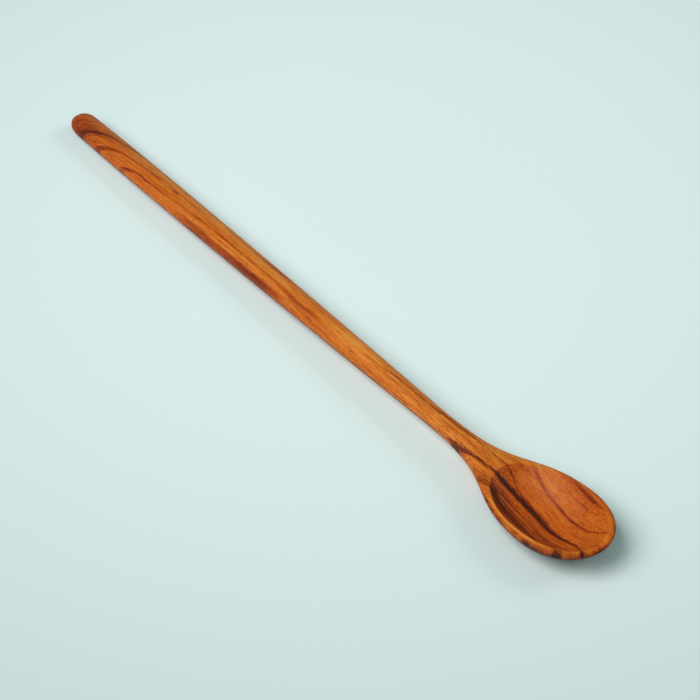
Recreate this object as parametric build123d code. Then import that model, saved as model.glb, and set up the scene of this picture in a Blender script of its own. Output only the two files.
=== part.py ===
from build123d import *
import math
import os

# A wooden spoon carved from one blank. It lies on a table at z = 0 with its bowl open
# upward and the bowl's tip towards +X. The origin is on the table under the middle of its
# length. While it is being carved, x runs from the handle's end at 0 to the tip at length.
# All sizes are in millimetres.

# Handle
length = 320.0
handle_width = 11.7
handle_end_width = 10.3
handle_end_radius = 6.6
handle_thickness = 7.5
handle_end_lift = 0.1

# Neck
neck_width = 7.5
neck_thickness = 8.0
neck_height = 7.6

# Bowl
bowl_width = 36.5
back_rim_height = 10.0
front_rim_height = 13.1
lip_height = 1.3
rim_width = 2.1
hollow_length = 52.5
hollow_depth = 8.4
rest_flat_depth = 0.35

# Places along the spoon, as shares of its length
belly_share = 0.15
neck_share = 0.70
top_blend_shares = (0.76, 0.86)
underside_blend_shares = (0.72, 0.90)
back_rim_share = 0.84
keel_share = 0.915
widest_share = 0.9226

# The last sections close the two ends this close to them, as a share of the length
cap_share = 0.0002

# The seam of every section, as a share of the way round from the middle of the underside
seam_share = 0.125

# Curvature of the outlines, as exponents
taper_power = 2.0
flare_start_power = 2.9
flare_finish_power = 1.74
end_power = 2.2
tip_power = 2.06
handle_power = 2.3
rim_power = 3.2
hull_power = 1.75
bow_power = 1.54
hollow_outline_power = 2.12
side_wall_power = 2.3
end_wall_power = 2.9

# How finely the surfaces are drawn
end_steps = 5
handle_steps = 6
bowl_steps = 12
tip_steps = 6
fine_points = 720
section_points = 40
dish_steps = 36


def ease(start, stop, value):
    """Rises smoothly from nought at start to one at stop."""
    step = min(max((value - start) / (stop - start), 0), 1)
    return step * step * (3 - 2 * step)


def rounded(share, power):
    """A quarter of a superellipse, from one at share nought down to nought at share one."""
    return (1 - min(share, 1) ** power) ** (1 / power)


def half_width(share):
    """Half the width of the spoon seen from above, without the rounding of its two ends."""
    if share < belly_share:
        end_loss = (handle_width - handle_end_width) / 2
        return handle_width / 2 - end_loss * (1 - share / belly_share) ** taper_power
    if share < neck_share:
        taper = (share - belly_share) / (neck_share - belly_share)
        return neck_width / 2 + (handle_width - neck_width) / 2 * (1 - taper**taper_power)
    way = min((share - neck_share) / (widest_share - neck_share), 1)
    start = way**flare_start_power
    finish = (1 - way) ** flare_finish_power
    return neck_width / 2 + (bowl_width - neck_width) / 2 * start / (start + finish)


def rim_height(share):
    """Height of the rim, which climbs evenly towards the tip."""
    climb = (share - back_rim_share) / (1 - back_rim_share)
    return back_rim_height + (front_rim_height - back_rim_height) * climb


def closed_curve(outline):
    """A smooth closed curve through evenly spaced points of a finely drawn outline."""
    travelled = [0]
    for first, second in zip(outline, outline[1:] + outline[:1]):
        travelled.append(travelled[-1] + (second - first).length)
    points = []
    place = 0
    for number in range(section_points):
        target = travelled[-1] * number / section_points
        while travelled[place + 1] < target:
            place += 1
        step = (target - travelled[place]) / (travelled[place + 1] - travelled[place])
        points.append(outline[place] * (1 - step) + outline[(place + 1) % len(outline)] * step)
    seam = round(section_points * seam_share)
    points = points[seam:] + points[:seam]
    parameters = [number / section_points for number in range(section_points + 1)]
    return Wire([Edge.make_spline(points, periodic=True, parameters=parameters)])


def section(share):
    """Closed cross section of the blank: a crowned top over a rounded underside."""
    end = rounded(1 - min(share * length / handle_end_radius, 1), end_power)
    tip_way = max(share - widest_share, 0) / (1 - widest_share)
    side = half_width(share) * end * rounded(tip_way, tip_power)

    # The handle is a straight oval bar that climbs from its end to the neck
    end_height = handle_end_lift + handle_thickness / 2
    middle = end_height + (neck_height - end_height) * share / neck_share
    thicker = (neck_thickness - handle_thickness) * ease(0, neck_share, share)
    half_thickness = (handle_thickness + thicker) / 2 * end

    # The bowl hangs from its rim like the hull of a boat
    edge = rim_height(share) - lip_height
    rise = rounded(max(share - keel_share, 0) / (1 - keel_share), bow_power)
    hull = edge - (edge + rest_flat_depth) * rise

    flat = ease(*top_blend_shares, share)
    low = ease(*underside_blend_shares, share)
    top = (middle + half_thickness) * (1 - flat) + rim_height(share) * flat
    bottom = (middle - half_thickness) * (1 - low) + hull * low
    waist = middle * (1 - flat) + edge * flat
    top = waist + (top - waist) * rounded(tip_way, rim_power)
    upper_power = handle_power + (rim_power - handle_power) * flat
    lower_power = handle_power + (hull_power - handle_power) * flat

    # Once round the section from the middle of the underside
    outline = []
    for number in range(fine_points):
        turn = 2 * math.pi * number / fine_points - math.pi / 2
        across = math.cos(turn)
        up = math.sin(turn)
        power = upper_power if up > 0 else lower_power
        reach = top - waist if up > 0 else waist - bottom
        y = side * math.copysign(abs(across) ** (2 / power), across)
        z = waist + reach * math.copysign(abs(up) ** (2 / power), up)
        outline.append(Vector(share * length, y, z))
    return closed_curve(outline)


def stretch(shares):
    """The part of the blank between the first and the last of these cross sections."""
    return Solid.make_loft([section(share) for share in shares])


def blank():
    """The spoon before it is hollowed: rounded end, handle, bowl and rounded tip in one."""
    end_share = handle_end_radius / length
    end = [cap_share]
    for step in range(1, end_steps + 1):
        end.append(end_share * (1 - math.cos(math.pi / 2 * step / end_steps)))
    handle = []
    for step in range(handle_steps + 1):
        handle.append(end_share + (neck_share - end_share) * step / handle_steps)
    bowl = []
    for step in range(bowl_steps + 1):
        bowl.append(neck_share + (widest_share - neck_share) * step / bowl_steps)
    tip = []
    for step in range(tip_steps):
        tip.append(widest_share + (1 - widest_share) * math.sin(math.pi / 2 * step / tip_steps))
    tip.append(1 - cap_share)
    return stretch(end).fuse(stretch(handle), stretch(bowl), stretch(tip))


def hollow():
    """The dish inside the bowl and all the space above it."""
    front = length - rim_width
    centre = front - hollow_length / 2
    floor = rim_height(centre / length) - hollow_depth
    margin = hollow_length / 5
    rows = []
    for i in range(dish_steps + 1):
        x = front + margin - (hollow_length + 2 * margin) * i / dish_steps
        row = []
        for j in range(dish_steps + 1):
            y = (bowl_width / 2 + margin) * (2 * j / dish_steps - 1)
            turn = math.atan2(y, x - centre)
            along = abs(math.cos(turn)) / (hollow_length / 2)
            across = abs(math.sin(turn)) / (bowl_width / 2 - rim_width)
            outline = along**hollow_outline_power + across**hollow_outline_power
            reach = math.hypot(x - centre, y) * outline ** (1 / hollow_outline_power)
            wall_power = side_wall_power + (end_wall_power - side_wall_power) * math.cos(turn) ** 2
            row.append(Vector(x, y, floor + (rim_height(x / length) - floor) * reach**wall_power))
        rows.append(row)
    surface = Face.make_surface_from_array_of_points(rows)
    return Solid.extrude(surface, Vector(0, 0, 2 * bowl_width))


# The table's plane cuts the small flat that the bowl rests on
table = Pos(length / 2, 0, -bowl_width / 2) * Box(2 * length, 2 * bowl_width, bowl_width)
spoon = Pos(-length / 2, 0, 0) * (blank().cut(hollow()) - table)
spoon.label = "spoon"

os.makedirs("parts", exist_ok=True)
export_step(spoon, "parts/spoon.step")
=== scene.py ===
import bpy
import numpy as np
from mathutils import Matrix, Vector


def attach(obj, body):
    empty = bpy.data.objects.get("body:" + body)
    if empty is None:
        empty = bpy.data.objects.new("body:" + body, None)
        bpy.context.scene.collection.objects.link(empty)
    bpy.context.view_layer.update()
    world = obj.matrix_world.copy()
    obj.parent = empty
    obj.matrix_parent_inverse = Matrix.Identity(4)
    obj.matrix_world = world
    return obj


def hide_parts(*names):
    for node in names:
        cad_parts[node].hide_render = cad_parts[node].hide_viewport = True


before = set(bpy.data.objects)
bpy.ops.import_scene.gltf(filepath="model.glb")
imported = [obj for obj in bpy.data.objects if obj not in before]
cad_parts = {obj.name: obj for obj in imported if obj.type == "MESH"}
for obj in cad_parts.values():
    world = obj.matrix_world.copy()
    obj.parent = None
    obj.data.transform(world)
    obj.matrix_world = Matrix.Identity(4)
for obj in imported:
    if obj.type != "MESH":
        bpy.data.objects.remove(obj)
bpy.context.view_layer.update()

# The carved spoon
# One piece of hardwood, sawn to a blank, hollowed with a spoon gouge, shaped with spokeshave
# and rasp, sanded and oiled. It lies along X with the bowl's tip towards +X and the hollow up.
# Lengths are in metres; a share is a part of the whole length, from the handle's end.

# Handle
length = 0.320
handle_width = 0.0117
handle_end_width = 0.0103
handle_end_radius = 0.0066
handle_thickness = 0.0075
handle_end_lift = 0.0001

# Neck
neck_width = 0.0075
neck_thickness = 0.0080
neck_height = 0.0076

# Bowl
bowl_width = 0.0365
back_rim_height = 0.0100
front_rim_height = 0.0131
lip_height = 0.0013
rim_width = 0.0021
rim_rounding = 0.00025
hollow_length = 0.0525
hollow_depth = 0.0084
rest_flat_depth = 0.00035
rest_rounding = 0.00015

# Places along the spoon
belly_share = 0.15
neck_share = 0.70
top_blend_shares = (0.76, 0.86)
underside_blend_shares = (0.72, 0.90)
back_rim_share = 0.84
keel_share = 0.915
widest_share = 0.9226

# Curvature of the outlines, as exponents. A rounded end or section is an ellipse at 2, and
# squarer above it.
taper_power = 2
flare_start_power = 2.9
flare_finish_power = 1.74
end_power = 2.2
tip_power = 2.06
handle_power = 2.3
rim_power = 3.2
hull_power = 1.75
bow_power = 1.54
hollow_outline_power = 2.12
side_wall_power = 2.3
end_wall_power = 2.9


def ease(start, stop, value):
    """Smooth step: 3t^2 - 2t^3 of the way t from start to stop."""
    step = np.clip((value - start) / (stop - start), 0, 1)
    return step * step * (3 - 2 * step)


def rounded(value, power):
    """Quarter of a superellipse: the power-th root of one minus value to that power."""
    return (1 - np.clip(value, 0, 1) ** power) ** (1 / power)


def soft_min(first, second, blend):
    """The smaller of two heights, with the corner between them rounded over the blend."""
    near = np.clip(blend - np.abs(first - second), 0, None) / blend
    return np.minimum(first, second) - near * near * blend / 4


def half_width(share):
    """Half the width from above: a parabola to the belly, another down to the neck, then a
    flare a^p / (a^p + (1 - a)^q) of the way a from the neck to the bowl's widest place, where
    p is the flare's start power and q its finish power."""
    to_belly = 1 - np.clip(share / belly_share, 0, 1)
    end = handle_width / 2 - (handle_width - handle_end_width) / 2 * to_belly**taper_power
    taper = np.clip((share - belly_share) / (neck_share - belly_share), 0, 1)
    handle = neck_width / 2 + (handle_width - neck_width) / 2 * (1 - taper**taper_power)
    way = np.clip((share - neck_share) / (widest_share - neck_share), 0, 1)
    start = way**flare_start_power
    flare = start / (start + (1 - way) ** flare_finish_power)
    bowl = neck_width / 2 + (bowl_width - neck_width) / 2 * flare
    return np.where(share < belly_share, end, np.where(share < neck_share, handle, bowl))


def middle_height(share):
    """A straight climb of the handle's middle from its end to the neck."""
    end_height = handle_end_lift + handle_thickness / 2
    return end_height + (neck_height - end_height) * share / neck_share


def rim_height(share):
    """A straight climb from the back of the rim to its front."""
    climb = (share - back_rim_share) / (1 - back_rim_share)
    return back_rim_height + (front_rim_height - back_rim_height) * climb


def dish_height(x, y):
    """Floor plus depth times r to the wall's power, where r is one on the hollow's outline, a
    superellipse, and the wall is steeper at the ends than at the sides. Well outside the
    outline the dish is lifted clear of the wood."""
    front = length - rim_width
    centre = front - hollow_length / 2
    floor = rim_height(centre / length) - hollow_depth
    turn = np.arctan2(y, x - centre)
    along = np.abs(np.cos(turn)) / (hollow_length / 2)
    across = np.abs(np.sin(turn)) / (bowl_width / 2 - rim_width)
    outline = along**hollow_outline_power + across**hollow_outline_power
    reach = np.hypot(x - centre, y) * outline ** (1 / hollow_outline_power)
    clear_reach = 1.4
    wall_power = side_wall_power + (end_wall_power - side_wall_power) * np.cos(turn) ** 2
    wall = np.minimum(reach, clear_reach) ** wall_power
    height = floor + (rim_height(x / length) - floor) * wall
    return np.where(reach < clear_reach, height, length)


def spoon_rings(x, upper_count, lower_count):
    """Each ring is a crowned top over a rounded underside: height above and below the waist is
    the superellipse of the distance out to the side, and the hollow is taken from the top.
    The third result is how far the hollow lies below the crown."""
    share = (x / length)[:, None]
    end = rounded(1 - np.minimum(share * length / handle_end_radius, 1), end_power)
    tip_way = np.clip((share - widest_share) / (1 - widest_share), 0, 1)
    side = half_width(share) * end * rounded(tip_way, tip_power)

    # The handle is a straight oval bar
    middle = middle_height(share)
    thicker = (neck_thickness - handle_thickness) * ease(0, neck_share, share)
    half_thickness = (handle_thickness + thicker) / 2 * end

    # The bowl hangs from its rim like the hull of a boat
    edge = rim_height(share) - lip_height
    rise = rounded((share - keel_share) / (1 - keel_share), bow_power)
    hull = edge - (edge + rest_flat_depth) * rise

    flat = ease(*top_blend_shares, share)
    low = ease(*underside_blend_shares, share)
    top = (middle + half_thickness) * (1 - flat) + rim_height(share) * flat
    bottom = (middle - half_thickness) * (1 - low) + hull * low
    waist = middle * (1 - flat) + edge * flat
    upper_power = handle_power + (rim_power - handle_power) * flat
    lower_power = handle_power + (hull_power - handle_power) * flat

    # The top, from the right side to the left, with the hollow cut into it
    out = np.sin(np.linspace(-np.pi / 2, np.pi / 2, upper_count + 1))[None, :]
    y_top = side * out
    to_edge = (1 - tip_way**tip_power) * np.abs(out) ** tip_power + tip_way**tip_power
    crown = waist + (top - waist) * rounded(to_edge ** (1 / tip_power), upper_power)
    dish = dish_height(x[:, None] + 0 * y_top, y_top)
    z_top = soft_min(crown, dish, rim_rounding)

    # The underside, from the left side back to the right, worn flat where it meets the table
    out = np.sin(np.linspace(np.pi / 2, -np.pi / 2, lower_count + 1))[None, 1:-1]
    y_low = side * out
    z_low = waist - (waist - bottom) * rounded(np.abs(out), lower_power)
    z_low = -soft_min(-z_low, 0 * z_low, rest_rounding)
    cut = np.concatenate([crown - dish, 0 * z_low - 1], 1)
    return np.concatenate([y_top, y_low], 1), np.concatenate([z_top, z_low], 1), cut


def closed_skin(x, y, z, first_pole, last_pole):
    """Joins rings of points into one closed skin that faces outwards. Each ring's points are
    numbered on from those of the ring before it, and the two poles have the last numbers."""
    rings, around = y.shape
    points = np.stack([x[:, None] + 0 * y, y, z], -1).reshape(-1, 3)
    points = np.concatenate([points, [first_pole, last_pole]])
    place = np.arange(around)
    after = (place + 1) % around
    here = np.arange(rings - 1)[:, None] * around
    there = here + around
    quads = np.stack([here + place, there + place, there + after, here + after], -1)
    first_number, last_number, last_ring = rings * around, rings * around + 1, (rings - 1) * around
    first_fan = np.stack([0 * place + first_number, place, after], -1)
    last_fan = np.stack([0 * place + last_number, last_ring + after, last_ring + place], -1)
    faces = quads.reshape(-1, 4).tolist() + first_fan.tolist() + last_fan.tolist()
    mesh = bpy.data.meshes.new("spoon_carved")
    mesh.from_pydata(points.tolist(), [], faces)
    mesh.polygons.foreach_set("use_smooth", np.ones(len(mesh.polygons), bool))
    mesh.update()
    return mesh


def stretch(start, stop, count):
    """Evenly spaced numbers after start, up to and with stop."""
    return np.linspace(start, stop, count + 1)[1:]


# Rings lie closest together where the surface turns quickest: at both ends and at the back
# of the hollow.
quarter = np.pi / 2
close_start, close_stop = 0.262, 0.271
x_rings = np.concatenate([
    handle_end_radius * (1 - np.cos(stretch(0, quarter, 24))),
    stretch(handle_end_radius, neck_share * length, 61),
    stretch(neck_share * length, close_start, 55),
    stretch(close_start, close_stop, 45),
    stretch(close_stop, widest_share * length, 59),
    length * (widest_share + (1 - widest_share) * np.sin(stretch(0, quarter, 85)[:-1])),
])
y_rings, z_rings, cut_rings = spoon_rings(x_rings, upper_count=170, lower_count=70)
handle_pole = (-length / 2, 0, middle_height(0))
tip_pole = (length / 2, 0, front_rim_height - lip_height)
skin = closed_skin(x_rings - length / 2, y_rings, z_rings, handle_pole, tip_pole)

# How much of the hollow's bare wood shows at each point, with an edge a fifth of a millimetre
# wide. The two poles have none.
hollow_edge = 0.0002
hollowed_points = np.append(np.clip(cut_rings / hollow_edge + 0.5, 0, 1), [0, 0])
skin.attributes.new("hollowed", "FLOAT", "POINT").data.foreach_set("value", hollowed_points)
spoon = bpy.data.objects.new("carved_spoon", skin)
bpy.context.collection.objects.link(spoon)

# The wood is one solid block of grain, so its pattern is worked out from where a point lies
# in the block, in millimetres: along from the handle's end, aside to the left of the middle
# line, and up from the table.
mm_in_metre = 1000
oiled_wood = bpy.data.materials.new("oiled_wood")
oiled_wood.use_nodes = True
recipe = oiled_wood.node_tree
recipe.nodes.clear()


class Grain:
    """A number that varies from place to place. Its sums and products vary with it."""

    def __init__(self, socket):
        self.socket = socket

    def __add__(self, other):
        return calc("ADD", self, other)

    __radd__ = __add__

    def __sub__(self, other):
        return calc("SUBTRACT", self, other)

    def __rsub__(self, other):
        return calc("SUBTRACT", other, self)

    def __mul__(self, other):
        return calc("MULTIPLY", self, other)

    __rmul__ = __mul__

    def __truediv__(self, other):
        return calc("DIVIDE", self, other)


def feed(socket, value):
    """Links a varying number to a socket, or sets the socket to a plain one."""
    if isinstance(value, Grain):
        recipe.links.new(value.socket, socket)
    else:
        socket.default_value = value


def calc(operation, *values):
    """The result of one operation on numbers, of which at least one varies."""
    node = recipe.nodes.new("ShaderNodeMath")
    node.operation = operation
    for socket, value in zip(node.inputs, values):
        feed(socket, value)
    return Grain(node.outputs[0])


def place_in_block(x, y, z):
    """A place made of three varying numbers."""
    node = recipe.nodes.new("ShaderNodeCombineXYZ")
    for socket, value in zip(node.inputs, (x, y, z)):
        feed(socket, value)
    return Grain(node.outputs[0])


def noise(size_along, size_across, size_up, detail=1.0, shift=0.0):
    """Smooth random variation from about -0.5 to 0.5, with patches of this size in mm."""
    node = recipe.nodes.new("ShaderNodeTexNoise")
    place = place_in_block(along / size_along + shift, across / size_across, up / size_up)
    feed(node.inputs["Vector"], place)
    node.inputs["Scale"].default_value = 1
    node.inputs["Detail"].default_value = detail
    return Grain(node.outputs["Fac"]) - 0.5


def ramp(value, start, stop, low=0.0, high=1.0):
    """Goes smoothly from low where the value is start to high where it is stop."""
    node = recipe.nodes.new("ShaderNodeMapRange")
    node.interpolation_type = "SMOOTHSTEP"
    for name, number in (("Value", value), ("From Min", start), ("From Max", stop),
                         ("To Min", low), ("To Max", high)):
        feed(node.inputs[name], number)
    return Grain(node.outputs["Result"])


def course(stops):
    """A smooth curve through stops of (millimetres along, value), level beyond its ends."""
    first, last = stops[0][0], stops[-1][0]
    low = min(value for _, value in stops)
    high = max(value for _, value in stops)
    node = recipe.nodes.new("ShaderNodeFloatCurve")
    points = node.mapping.curves[0].points
    for _ in range(len(stops) - 2):
        points.new(0.5, 0.5)
    for point, (place, value) in zip(points, stops):
        point.location = ((place - first) / (last - first), (value - low) / (high - low))
        point.handle_type = "AUTO_CLAMPED"
    node.mapping.update()
    way = calc("MINIMUM", calc("MAXIMUM", (along - first) / (last - first), 0), 1)
    feed(node.inputs["Value"], way)
    return Grain(node.outputs[0]) * (high - low) + low


def dark_line(stops, left=1.0, right=1.0, fray=0.0):
    """Darkness of one growth line. Stops are (along, aside, half its thickness, darkness), its
    left and right halves are thicker by these factors, and threads fray its edges by so much."""
    off = aside + wobble + (threads + fibres) * fray
    off = off - course([(stop[0], stop[1]) for stop in stops])
    thick = course([(stop[0], stop[2]) for stop in stops])
    left_edge = ramp(off / (thick * left), 1.5, 0.3)
    right_edge = ramp(off / (thick * right), -1.5, -0.3)
    return left_edge * right_edge * course([(stop[0], stop[3]) for stop in stops])


def patch(place_along, place_aside, half_length, half_width, inner=0.3):
    """One in the middle of an oval patch, out to the inner share of its size, and nought outside
    the patch."""
    x = (along - place_along) / half_length
    y = (aside - place_aside) / half_width
    return ramp(x * x + y * y + wobble, 1.0, inner * inner)


where = recipe.nodes.new("ShaderNodeTexCoord")
split = recipe.nodes.new("ShaderNodeSeparateXYZ")
recipe.links.new(where.outputs["Object"], split.inputs[0])
along = Grain(split.outputs[0]) * mm_in_metre + length / 2 * mm_in_metre
aside = Grain(split.outputs[1]) * mm_in_metre
up = Grain(split.outputs[2]) * mm_in_metre
share_along = along / (length * mm_in_metre)

# How far the fibres swerve aside: round a knot at the handle's end, and in a wave in the bowl.
# The grain also leans a little, so it shifts aside with height.
swerve = course(((0, -13.0), (5, -9.0), (10, -5.0), (15, -1.6), (20, 0.9), (30, 2.7), (50, 3.3),
                 (150, 1.6), (245, 0.0), (265, 0.2), (280, 1.6), (290, 0.8), (295, 0.0),
                 (300, 0.1), (305, 0.5), (312, -0.4), (320, -2.4)))
lean, level_height = 0.13, 8
across = aside - swerve - (up - level_height) * lean

# The edges of lines and patches wander a little
wobble = noise(7, 1.6, 2.5) * 0.5

# Broad growth bands, streaks within them, the threads and fibres of the wood, and blotches
bands = noise(90, 2.6, 6)
streaks = noise(42, 0.9, 2.2, shift=7)
threads = noise(9, 0.27, 0.6, detail=2, shift=3)
fibres = noise(3.4, 0.11, 0.16, detail=2, shift=5)
blotches = noise(5, 2.5, 2.5, shift=11)

# Pores are short dark strokes along the fibres, each about two millimetres long
pore_spacing, pore_gap = 4.4, 0.62
pores = recipe.nodes.new("ShaderNodeTexVoronoi")
pore_place = place_in_block(along / pore_spacing, across / pore_gap, up / pore_gap)
feed(pores.inputs["Vector"], pore_place)
pores.inputs["Scale"].default_value = 1
stroke = ramp(Grain(pores.outputs["Distance"]), 0.30, 0.12)

# How light the wood is: dark at the handle's end, lightest in the middle, darker in the bowl
ground = course(((0, 0.42), (9, 0.46), (16, 0.60), (32, 0.69), (60, 0.76), (100, 0.83),
                 (125, 0.86), (140, 0.85), (160, 0.84), (195, 0.80), (215, 0.82), (240, 0.80),
                 (262, 0.78), (272, 0.67), (290, 0.66), (305, 0.65), (320, 0.65)))

# The hollow, where its bare wood shows, is darker than the rim above it, with painted shade at its
# back
bare = recipe.nodes.new("ShaderNodeAttribute")
bare.attribute_name = "hollowed"
hollowed = Grain(bare.outputs["Fac"])

handle_lines = [
    # Two hooks round the handle's end, a bold one and a faint one
    dark_line(((6, -7.0, 0.6, 0.04), (9.5, -5.3, 0.8, 0.14), (12, -4.0, 0.9, 0.24),
               (15, -2.2, 0.9, 0.30), (18, -0.6, 0.8, 0.33), (20.5, 0.7, 0.75, 0.34),
               (23.5, 1.7, 0.7, 0.34), (28, 2.5, 0.7, 0.34), (33, 3.3, 0.7, 0.34),
               (37, 3.8, 0.6, 0.30), (43, 4.2, 0.5, 0.10), (50, 4.4, 0.4, 0.0)), right=1.4),
    dark_line(((10, -6.2, 0.5, 0.0), (13.5, -5.0, 0.5, 0.08), (17.5, -3.0, 0.4, 0.12),
               (20, -1.4, 0.4, 0.06), (24, 0.3, 0.3, 0.0))),
    # Two more hooks, which straighten into lines along the handle
    dark_line(((18, -7.4, 0.4, 0.08), (22, -5.5, 0.5, 0.24), (25, -4.3, 0.5, 0.30),
               (30, -2.4, 0.45, 0.31), (35, -1.1, 0.4, 0.31), (40, -0.5, 0.36, 0.28),
               (45, 0.0, 0.34, 0.26), (50, 0.5, 0.36, 0.28), (55, 0.6, 0.38, 0.32),
               (60, 0.7, 0.28, 0.05), (64, 0.7, 0.28, 0.08), (67, 0.7, 0.38, 0.42),
               (70, 0.8, 0.28, 0.08), (77, 1.1, 0.32, 0.28), (84, 1.2, 0.2, 0.0)),
              right=2.0),
    dark_line(((34, -7.2, 0.4, 0.06), (39, -5.6, 0.45, 0.26), (43, -4.4, 0.45, 0.30),
               (47, -3.7, 0.4, 0.28), (55, -3.5, 0.38, 0.26), (62, -3.3, 0.38, 0.24),
               (70, -2.9, 0.36, 0.16), (80, -2.3, 0.34, 0.18), (90, -1.8, 0.36, 0.20),
               (100, -1.6, 0.34, 0.24), (115, -1.5, 0.34, 0.20), (128, -1.5, 0.4, 0.16),
               (138, -1.8, 0.6, 0.26), (145, -2.3, 0.9, 0.32), (152, -2.6, 1.0, 0.32),
               (160, -2.6, 1.0, 0.22), (168, -2.9, 0.8, 0.10), (178, -3.2, 0.6, 0.0)),
              right=1.6),
    # The streak along the handle's right edge
    dark_line(((70, -5.3, 0.5, 0.0), (80, -5.3, 0.8, 0.18), (90, -5.3, 0.9, 0.30),
               (100, -5.25, 0.8, 0.28), (108, -5.2, 0.8, 0.32), (118, -5.05, 0.75, 0.40),
               (126, -4.9, 0.7, 0.44), (134, -4.8, 0.65, 0.38), (142, -4.8, 0.6, 0.12),
               (148, -4.8, 0.6, 0.0))),
    # The streak on the handle's left side
    dark_line(((94, 2.8, 0.3, 0.0), (102, 2.8, 0.4, 0.22), (116, 2.8, 0.4, 0.20),
               (122, 2.8, 0.7, 0.36), (129, 2.9, 0.8, 0.42), (137, 3.1, 0.6, 0.26),
               (146, 3.0, 0.3, 0.0)), left=1.5),
    # The broken line that crosses the neck from right to left
    dark_line(((186, -1.6, 0.3, 0.0), (191, -1.0, 0.36, 0.24), (197, -0.8, 0.36, 0.24),
               (201, -0.3, 0.38, 0.30), (206, 0.0, 0.42, 0.42), (210, -0.1, 0.4, 0.36),
               (214, 0.1, 0.38, 0.36), (218, 0.1, 0.42, 0.42), (223, 0.0, 0.38, 0.38),
               (230, 0.4, 0.42, 0.46), (237, 0.7, 0.40, 0.38), (244, 1.2, 0.42, 0.38),
               (250, 1.6, 0.3, 0.22), (256, 2.0, 0.3, 0.20), (262, 2.4, 0.28, 0.16),
               (267, 2.6, 0.26, 0.04)), left=2.0),
]
bowl_lines = [
    # The black band from the neck, down through the hollow and over the front rim
    dark_line(((237, -5.0, 0.4, 0.06), (241, -4.7, 0.55, 0.44), (246, -4.5, 0.64, 0.62),
               (250, -4.4, 0.56, 0.60), (254, -4.05, 0.40, 0.52), (260, -3.4, 0.38, 0.48),
               (265, -2.7, 0.5, 0.50), (268, -2.3, 0.85, 0.58), (275, -1.4, 1.0, 0.60),
               (280, -1.0, 1.1, 0.62), (285, -1.1, 1.1, 0.62), (290, -1.7, 1.0, 0.60),
               (295, -2.3, 0.9, 0.56), (300, -2.0, 0.8, 0.50), (303.5, -1.5, 0.65, 0.42),
               (307, -1.5, 0.5, 0.38), (310, -2.3, 0.4, 0.34), (313, -4.0, 0.35, 0.36),
               (316, -6.2, 0.4, 0.44), (319, -8.2, 0.4, 0.44)), left=1.6, fray=1.6),
    # The thinner line on the hollow's left side
    dark_line(((268, 10.6, 0.5, 0.12), (272, 10.2, 0.6, 0.22), (275, 9.4, 0.55, 0.28),
               (280, 8.3, 0.52, 0.32), (285, 7.7, 0.52, 0.32), (290, 7.0, 0.5, 0.32),
               (300, 6.4, 0.45, 0.30), (310, 7.0, 0.4, 0.25), (316, 7.4, 0.36, 0.22)),
              left=1.5),
    # Two faint lines between these, one short and one long
    dark_line(((262, 2.4, 0.3, 0.0), (265, 2.9, 0.45, 0.20), (269, 2.2, 0.5, 0.26),
               (273, 1.2, 0.4, 0.24), (278, 0.6, 0.4, 0.10))),
    dark_line(((273, 2.6, 0.4, 0.0), (280, 3.5, 0.5, 0.09), (285, 3.6, 0.5, 0.08),
               (290, 2.0, 0.6, 0.12), (296, 1.4, 0.5, 0.08), (303, 2.2, 0.4, 0.10),
               (308, 2.2, 0.4, 0.12), (313, 1.2, 0.4, 0.12), (320, -0.9, 0.4, 0.10))),
    # Two arcs of the oval figure beside the left rim
    dark_line(((282, 16.6, 0.5, 0.0), (287, 16.3, 0.7, 0.22), (293, 15.6, 0.8, 0.28),
               (299, 14.9, 0.7, 0.26), (304, 14.4, 0.6, 0.20), (309, 14.0, 0.5, 0.0))),
    dark_line(((284, 13.8, 0.3, 0.0), (290, 12.7, 0.4, 0.13), (296, 12.3, 0.4, 0.13),
               (302, 12.2, 0.4, 0.11), (307, 12.5, 0.3, 0.0))),
    # Three lines on the hollow's right wall, one broad and two thin
    dark_line(((262, -7.2, 0.6, 0.06), (268, -8.6, 0.8, 0.22), (275, -10.2, 1.0, 0.22),
               (285, -11.6, 1.1, 0.22), (295, -13.0, 1.1, 0.20), (304, -13.2, 1.0, 0.16),
               (312, -13.4, 0.8, 0.20), (318, -13.6, 0.6, 0.1)), left=1.3) * hollowed,
    dark_line(((264, -6.8, 0.3, 0.0), (269, -7.4, 0.45, 0.16), (275, -8.0, 0.4, 0.18),
               (283, -8.8, 0.5, 0.20), (290, -10.4, 0.5, 0.18), (297, -11.8, 0.5, 0.12),
               (303, -12.5, 0.4, 0.0))) * hollowed,
    dark_line(((266, -5.0, 0.25, 0.0), (274, -5.6, 0.3, 0.12), (284, -5.9, 0.3, 0.10),
               (293, -7.4, 0.35, 0.12), (303, -8.2, 0.3, 0.0))) * hollowed,
]

# Oval patches that are lighter or darker than the wood round them, each with its place along
# and aside, half its length and width, and how much lighter it is
plain_patches = (
    # In the hollow; the second, at 283 mm along and 8 mm aside, is a painted sheen
    (288, -7.5, 30, 6.5, -0.06), (283, 8.0, 18, 9.0, 0.08), (298, -1, 9, 2, -0.05),
    (296, 15.6, 13, 2.2, -0.10), (317, 6, 4, 6, 0.08),
    # On the front and right of the rim
    (311, -13.4, 2.2, 3, -0.3), (317, -7.0, 1.6, 2, -0.2), (299, -17.6, 2.5, 1, -0.2),
    # Along the handle, from its end to the neck
    (20, -1.5, 12, 4, -0.07), (95, 2.4, 28, 1.8, 0.06), (155, 0.6, 18, 2.5, -0.07),
    (176, -0.3, 11, 4, 0.07), (186, 0, 16, 4, 0.17), (208, 0.2, 13, 3, 0.06),
    (222, 2.4, 30, 1.9, -0.03), (254, -4.5, 7, 2, -0.07),
)
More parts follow.
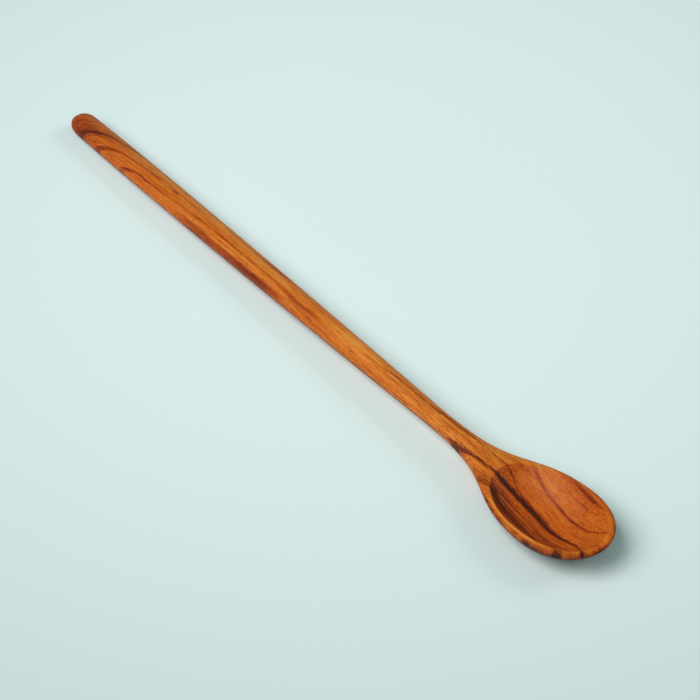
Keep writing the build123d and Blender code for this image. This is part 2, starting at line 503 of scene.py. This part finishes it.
# Two more have a form of their own: a blotched one on the right shoulder of the bowl, and one
# at the front of the hollow that fades from its very middle
patches = patch(262, -8.8, 9, 2.6) * (blotches * 0.6 - 0.24)
patches = patches + patch(302, 9.0, 10, 7.0, inner=0.1) * -0.05
for *oval, lighter in plain_patches:
    patches = patches + patch(*oval) * lighter

# The rim's crest has a painted highlight; below it the bowl's outside is blotched, with painted shade
below_crest = rim_height(share_along) * mm_in_metre - up
outside = (1 - hollowed) * ramp(along, 264, 274)
flank = ramp(below_crest, 0.4, 0.95) * outside
# The flank's painted shade is deepest at the tip's right
flank_shade = blotches * 0.8 + 0.27 + ramp(along, 313, 318) * ramp(aside, -8, -4) * 0.16
# The painted highlight along the rim's crest
painted_crest_highlight = patch(286, -15, 24, 5) * 0.40 + ramp(aside, 0, 6) * 0.03 + ramp(along, 308, 314) * 0.05
painted_crest_highlight = painted_crest_highlight * (1 - ramp(below_crest, 0.35, 0.7)) * outside

# Painted shade: the underside of the handle and the bowl's outside well below its rim are darker
handle_middle = middle_height(calc("MINIMUM", share_along, neck_share)) * mm_in_metre
handle_underside_shade = ramp(up - handle_middle, -0.2, -1.5) * ramp(along, 255, 225)
bowl_underside_shade = ramp(below_crest, 1.6, 4.0) * ramp(along, 250, 275) * (1 - hollowed)
underside_painted_shade = handle_underside_shade + bowl_underside_shade

# The right wall of the hollow is darker below its rim, partly darker wood and partly painted shade,
# and streaked
near_wall_dark_and_shade = ramp(aside, -5, -10, 0.06, 0.24) - ramp(aside, -12, -14.5, 0.0, 0.14)
near_wall_dark_and_shade = near_wall_dark_and_shade * ramp(along, 304, 276, 0.3, 1.0)
wall_streaks = streaks * ramp(aside, -3, -8) * 0.6

# The tone runs from dark at 0 to pale at 1. Threads stand out most in the neck, and they
# break up the growth lines.
neck_threads = ramp(along, 190, 225) * ramp(along, 272, 262) * 0.55 + 0.80
# The aside term paints the left side a little lighter and the right side darker, as painted light and
# shade
tone = ground + bands * 0.36 + streaks * 0.34 + patches + aside * 0.004
# The bowl's flank takes its blotches and painted shade
tone = tone + (threads + fibres * 0.9) * neck_threads - flank * flank_shade
# The rim's crest takes its painted highlight
tone = tone + outside * (0.05 - patch(311, -9, 7, 7) * 0.09) + painted_crest_highlight - stroke * 0.18
# Darker wood and painted shade on the hollow's right wall, with its streaks
tone = tone - hollowed * (near_wall_dark_and_shade - wall_streaks)
# Painted shade: the back of the hollow is darker, and so is the underside
tone = tone - hollowed * ramp(along, 275, 265) * 0.09 - underside_painted_shade * 0.38
broken = 1 + threads * 0.7 + fibres * 0.3
for line in handle_lines + bowl_lines:
    tone = tone - line * broken

output = recipe.nodes.new("ShaderNodeOutputMaterial")
shader = recipe.nodes.new("ShaderNodeBsdfPrincipled")
recipe.links.new(shader.outputs[0], output.inputs["Surface"])
stain = recipe.nodes.new("ShaderNodeValToRGB")
colours = ((0.0, (0.030, 0.006, 0.003, 1)), (0.2, (0.12, 0.018, 0.003, 1)),
           (0.4, (0.30, 0.046, 0.004, 1)), (0.6, (0.49, 0.112, 0.009, 1)),
           (0.8, (0.63, 0.178, 0.018, 1)), (1.0, (0.78, 0.290, 0.050, 1)))
for _ in range(len(colours) - 2):
    stain.color_ramp.elements.new(0.5)
for element, (place, colour) in zip(stain.color_ramp.elements, colours):
    element.position = place
    element.color = colour
recipe.links.new(tone.socket, stain.inputs[0])


def tinted(colour, mode, factor, tint):
    """The colour with a tint blended over it by this factor."""
    node = recipe.nodes.new("ShaderNodeMix")
    node.data_type = "RGBA"
    node.blend_type = mode
    feed(node.inputs["Factor"], factor)
    recipe.links.new(colour, node.inputs["A"])
    node.inputs["B"].default_value = tint
    return node.outputs["Result"]


# Some streaks are redder, and so are the right side of the handle's first third, a patch at
# mid handle, the whole of the hollow, the left rim and the bowl's outside
red_tint = (1.0, 0.76, 0.55, 1)
red = noise(70, 2.2, 5, shift=17) - aside * 0.05 * ramp(along, 268, 255)
red = ramp(red, -0.2, 0.15, 0.0, 0.8)
red = calc("MAXIMUM", red, hollowed + ramp(along, 110, 60) * ramp(aside, 2, -2))
red = calc("MAXIMUM", red, ramp(along, 266, 282) * ramp(aside, -8, 0))
red = calc("MAXIMUM", red, flank * 0.6 + patch(155, 0.6, 24, 3) * 0.8)

# The left side of the handle and part of the hollow are painted a pale pink, as a painted sheen
painted_sheen_colour = (0.60, 0.185, 0.055, 1)
painted_sheen = patch(280, 9.5, 11, 7) * 0.13 + patch(275, 4, 8, 4, inner=0.1) * 0.06
painted_sheen = painted_sheen + ramp(aside, -2, 3) * ramp(along, 245, 215) * 0.22

wood_colour = tinted(stain.outputs[0], "MULTIPLY", red, red_tint)
# The painted sheen is mixed over the wood's colour
wood_colour = tinted(wood_colour, "MIX", painted_sheen, painted_sheen_colour)
recipe.links.new(wood_colour, shader.inputs["Base Color"])

# The oil leaves a low sheen, which is duller in the pores, and the pores are sunk a little
feed(shader.inputs["Roughness"], threads * 0.2 + stroke * 0.15 + 0.46)
shader.inputs["Specular IOR Level"].default_value = 0.13
relief = recipe.nodes.new("ShaderNodeBump")
relief.inputs["Strength"].default_value = 0.35
relief.inputs["Distance"].default_value = 0.0001
feed(relief.inputs["Height"], fibres * 0.4 + threads * 0.5 - stroke)
recipe.links.new(relief.outputs[0], shader.inputs["Normal"])

spoon.data.materials.append(oiled_wood)
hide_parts("spoon")
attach(spoon, "root")

# The table
# A plain pale blue-green board under the spoon, matt and without marks. Its colour is painted
# lightest beside the handle and fades to three fifths of that over half a metre, a painted falloff of
# light.
board_reach = 3.0
corners = [(-1, -1), (1, -1), (1, 1), (-1, 1)]
board = bpy.data.meshes.new("board")
board.from_pydata([(x * board_reach, y * board_reach, 0) for x, y in corners], [], [(0, 1, 2, 3)])
table = bpy.data.objects.new("table", board)
bpy.context.collection.objects.link(table)

table_paint = bpy.data.materials.new("table_paint")
table_paint.use_nodes = True
recipe = table_paint.node_tree
paint = recipe.nodes["Principled BSDF"]
painted_light_centre = (-0.04, 0.08, 0)
fade_start, fade_stop, painted_shade_share = 0.05, 0.55, 0.60
board_place = recipe.nodes.new("ShaderNodeTexCoord")
distance = recipe.nodes.new("ShaderNodeVectorMath")
distance.operation = "DISTANCE"
distance.inputs[1].default_value = painted_light_centre
recipe.links.new(board_place.outputs["Object"], distance.inputs[0])
tint = recipe.nodes.new("ShaderNodeMix")
tint.data_type = "RGBA"
# The painted falloff of light across the board
feed(tint.inputs["Factor"], ramp(Grain(distance.outputs["Value"]), fade_start, fade_stop, 1.0, painted_shade_share))
tint.inputs["A"].default_value = (0, 0, 0, 1)
tint.inputs["B"].default_value = (0.822, 0.884, 0.876, 1)
recipe.links.new(tint.outputs["Result"], paint.inputs["Base Color"])
paint.inputs["Roughness"].default_value = 0.9
paint.inputs["Specular IOR Level"].default_value = 0.2
table.data.materials.append(table_paint)

# Light and camera
# One large window high on the spoon's right side gives most of the light, and two small weak
# ones beyond the tip soften the shadows. The room adds an even bluish light, and is a pale wall
# where it is seen or mirrored. The camera looks down at the spoon with a long lens.
world = bpy.data.worlds.new("room")
bpy.context.scene.world = world
world.use_nodes = True
recipe = world.node_tree
air = recipe.nodes["Background"]
air.inputs["Color"].default_value = (0.40, 1, 0.93, 1)
air.inputs["Strength"].default_value = 0.20
wall = recipe.nodes.new("ShaderNodeBackground")
wall.inputs["Color"].default_value = (0.46, 0.58, 0.56, 1)
path = recipe.nodes.new("ShaderNodeLightPath")
seen = Grain(path.outputs["Is Camera Ray"]) + Grain(path.outputs["Is Glossy Ray"])
seen = seen + Grain(path.outputs["Is Transmission Ray"])
view = recipe.nodes.new("ShaderNodeMixShader")
feed(view.inputs[0], seen)
recipe.links.new(air.outputs[0], view.inputs[1])
recipe.links.new(wall.outputs[0], view.inputs[2])
recipe.links.new(view.outputs[0], recipe.nodes["World Output"].inputs["Surface"])


def window(name, place, size, power):
    """A square area light that faces the middle of the spoon."""
    light = bpy.data.lights.new(name, "AREA")
    light.shape = "SQUARE"
    light.size = size
    light.energy = power
    lamp = bpy.data.objects.new(name, light)
    lamp.location = place
    lamp.rotation_euler = (-Vector(place)).to_track_quat("-Z", "Y").to_euler()
    bpy.context.collection.objects.link(lamp)


window("large_window", place=(-0.68, -2.24, 3.20), size=3.0, power=138)
window("near_window", place=(1.70, -1.40, 2.10), size=1.6, power=10)
window("far_window", place=(1.30, 3.05, 2.20), size=1.5, power=26)

lens = bpy.data.cameras.new("camera")
lens.lens = 190.27
lens.sensor_width = 36
camera = bpy.data.objects.new("camera", lens)
camera.location = (0.8090, -0.6376, 0.9704)
looked_at = Vector((0.0132, 0.0032, 0.0))
camera.rotation_euler = (looked_at - camera.location).to_track_quat("-Z", "Y").to_euler()
bpy.context.collection.objects.link(camera)
bpy.context.scene.camera = camera
bpy.context.scene.view_settings.view_transform = "Standard"
